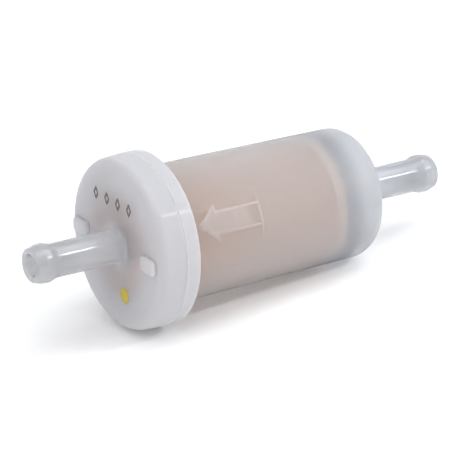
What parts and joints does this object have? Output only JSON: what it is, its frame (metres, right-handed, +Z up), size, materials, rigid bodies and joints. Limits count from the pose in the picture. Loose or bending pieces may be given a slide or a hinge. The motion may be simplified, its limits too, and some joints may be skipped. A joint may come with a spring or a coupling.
{
  "type": "in-line fuel filter",
  "caption": "Sealed in-line fuel filter: milky cup and welded cap around a pleated paper element, with a beaded hose nipple at each end.",
  "frame": {"origin": "on the filter's axis, half way between the two nipple tips", "axes": "+X along the axis from the outlet cap to the inlet nipple, against the flow; +Z up through the batch marks"},
  "size_m": [0.114, 0.042, 0.042],
  "materials": {
    "housing_nylon": "natural milky nylon, smooth moulded, see-through enough to show the paper",
    "cap_nylon": "natural milky nylon, thicker and so whiter than the cup",
    "weld_nylon": "natural nylon, melted and set again",
    "filter_paper": "resin-treated pleated filter paper",
    "element_glue": "set plastisol glue",
    "element_plastic": "natural moulded plastic",
    "seal_rubber": "brown fuel-proof rubber",
    "yellow_paint": "dab of paint",
    "dark_ink": "printed ink"
  },
  "bodies": {
    "root": {"inlet_cup": "housing_nylon", "outlet_cap": "cap_nylon", "weld_bead": "weld_nylon", "filter_paper": "filter_paper", "pleat_seam": "element_glue", "centre_tube": "element_plastic", "outlet_end_plate": "element_plastic", "blind_end_plate": "element_plastic", "outlet_potting": "element_glue", "blind_potting": "element_glue", "spigot_seal": "seal_rubber", "paint_dot": "yellow_paint", "ink_marks": "dark_ink"}
  },
  "joints": []
}
